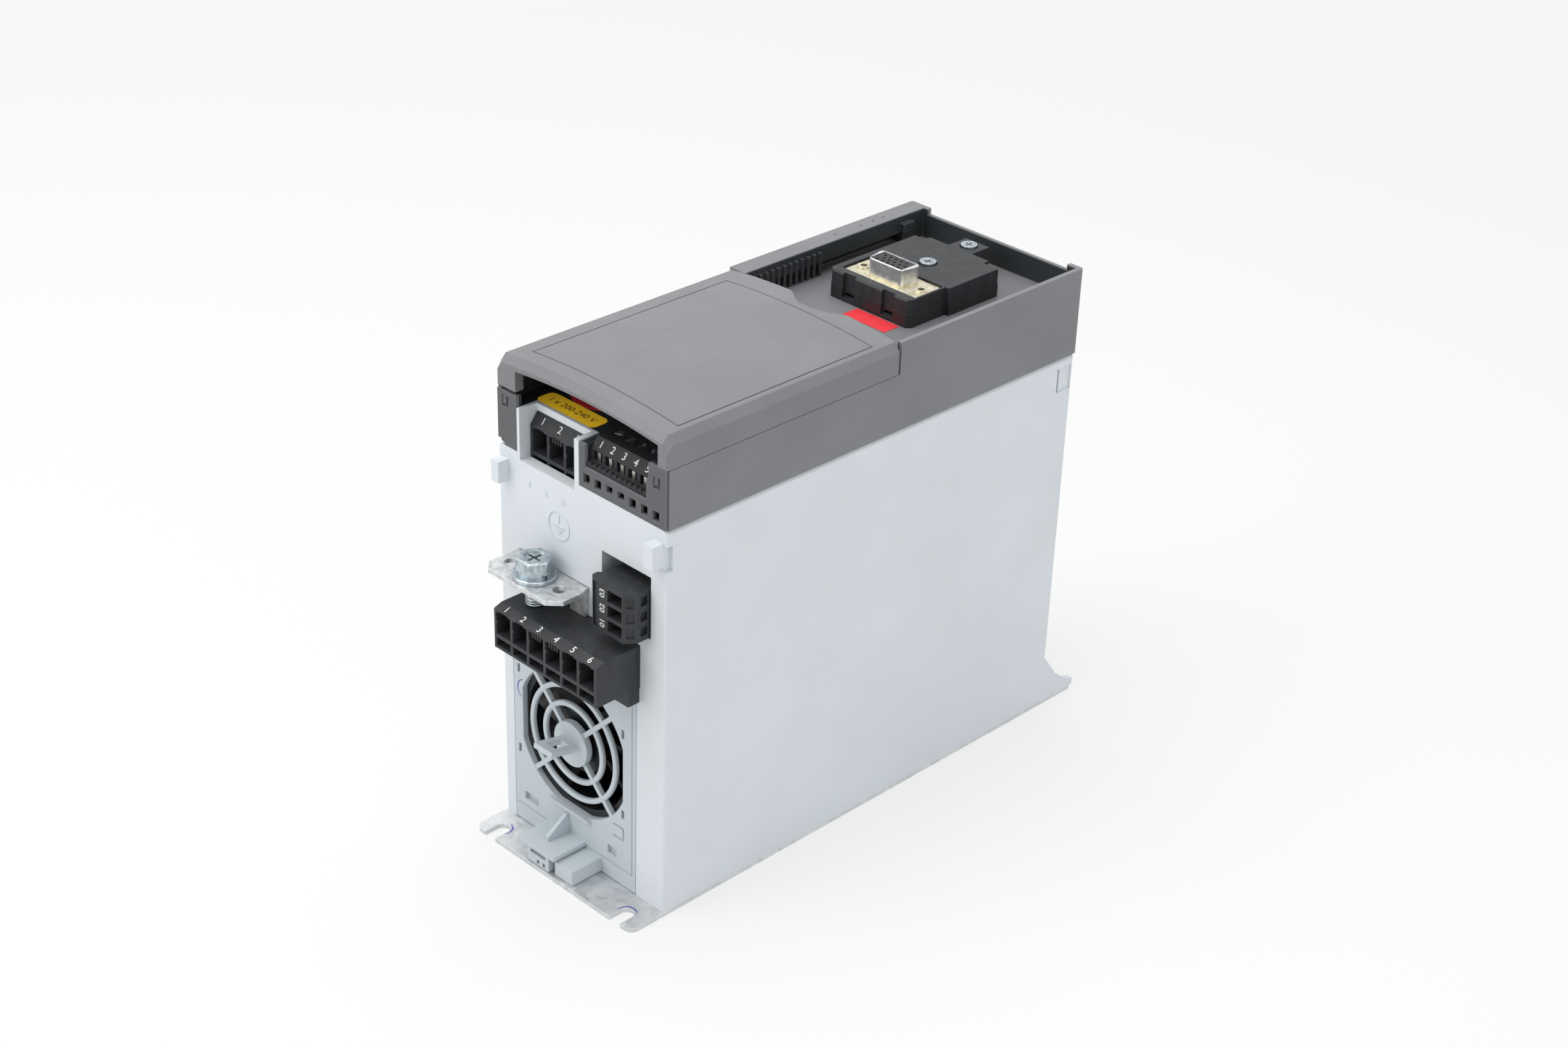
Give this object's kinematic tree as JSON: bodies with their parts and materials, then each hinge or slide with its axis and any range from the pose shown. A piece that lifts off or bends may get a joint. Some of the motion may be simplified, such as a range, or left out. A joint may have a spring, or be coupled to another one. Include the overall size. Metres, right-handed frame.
{
  "type": "variable frequency drive",
  "caption": "Narrow panel-mounted motor drive in a grey case on a steel back plate, with plug-in terminals, a pull-out fan, a lift-off terminal cover and a keypad bay.",
  "frame": {"origin": "centre of the mounting hole pattern on the back face of the mounting plate", "axes": "+X across the case, +Y along the case from the fan end to the far end, +Z from the back face towards the front"},
  "size_m": [0.075, 0.2137, 0.1705],
  "materials": {
    "aluminium": "extruded, bare",
    "black_plastic": "black, slightly satin",
    "board_green": "printed circuit board",
    "contact_metal": "tinned contact",
    "copper_wire": "wound core and windings",
    "dark_plastic": "dark grey, fine matte texture",
    "galvanised": "zinc-coated sheet, faint spangle",
    "grey_plastic": "light bluish grey, fine matte texture",
    "label_red": "printed label",
    "label_yellow": "printed label",
    "serial_metal": "tin-plated socket shell, warm tint",
    "zinc_bright": "bright zinc-plated steel"
  },
  "bodies": {
    "drive": {"bay_label": "label_red", "board_screws": "zinc_bright", "board_standoffs": "zinc_bright", "control_board": "board_green", "control_board_screws": "zinc_bright", "control_socket": "black_plastic", "dc_capacitors": "black_plastic", "earth_bracket": "zinc_bright", "filter_capacitor": "black_plastic", "filter_chokes": "copper_wire", "front_frame": "dark_plastic", "heat_sink": "aluminium", "housing": "grey_plastic", "input_board": "board_green", "input_board_posts": "black_plastic", "mains_contacts": "contact_metal", "mains_header": "black_plastic", "module_base": "black_plastic", "module_lid": "black_plastic", "module_screws": "zinc_bright", "motor_contacts": "contact_metal", "motor_header": "black_plastic", "mounting_plate": "galvanised", "plate_screws": "zinc_bright", "power_board": "board_green", "power_module": "black_plastic", "precharge_relay": "black_plastic", "relay_board": "board_green", "relay_socket": "black_plastic", "riser_board": "board_green", "serial_flange": "serial_metal", "serial_insert": "black_plastic", "supply_label": "label_yellow", "supply_transformer": "black_plastic", "warning_disc": "label_red"},
    "fan_cassette": {"fan_cover": "grey_plastic", "fan_frame": "black_plastic", "fan_stator_core": "copper_wire", "fan_bearing_bush": "copper_wire"},
    "fan_rotor": {"fan_rotor": "black_plastic", "fan_axle": "zinc_bright"},
    "terminal_cover": {"terminal_cover": "dark_plastic"},
    "relay_plug": {"relay_plug": "black_plastic", "relay_clamps": "contact_metal"},
    "control_plug": {"control_plug": "black_plastic", "control_clamps": "contact_metal", "control_plug_screws": "zinc_bright"},
    "earth_bolt": {"earth_bolt": "zinc_bright", "earth_washer": "zinc_bright", "earth_spring_washer": "zinc_bright"}
  },
  "joints": [
    {"name": "fan_cassette_pull", "type": "slide", "parent": "drive", "child": "fan_cassette", "axis": [0, -1, 0], "range_m": [0, 0.03]},
    {"name": "fan_spin", "type": "hinge", "parent": "fan_cassette", "child": "fan_rotor", "pos_m": [-0.0048, -0.0817, 0.0432], "axis": [0, 1, 0], "continuous": true},
    {"name": "terminal_cover_lift", "type": "slide", "parent": "drive", "child": "terminal_cover", "axis": [0, 0, 1], "range_m": [0, 0.03]},
    {"name": "relay_plug_pull", "type": "slide", "parent": "drive", "child": "relay_plug", "axis": [0, -1, 0], "range_m": [0, 0.02]},
    {"name": "control_plug_pull", "type": "slide", "parent": "drive", "child": "control_plug", "axis": [0, -1, 0], "range_m": [0, 0.022]},
    {"name": "earth_bolt_turn", "type": "hinge", "parent": "drive", "child": "earth_bolt", "pos_m": [-0.0127, -0.0979, 0.103], "axis": [0, 0, 1], "continuous": true}
  ]
}
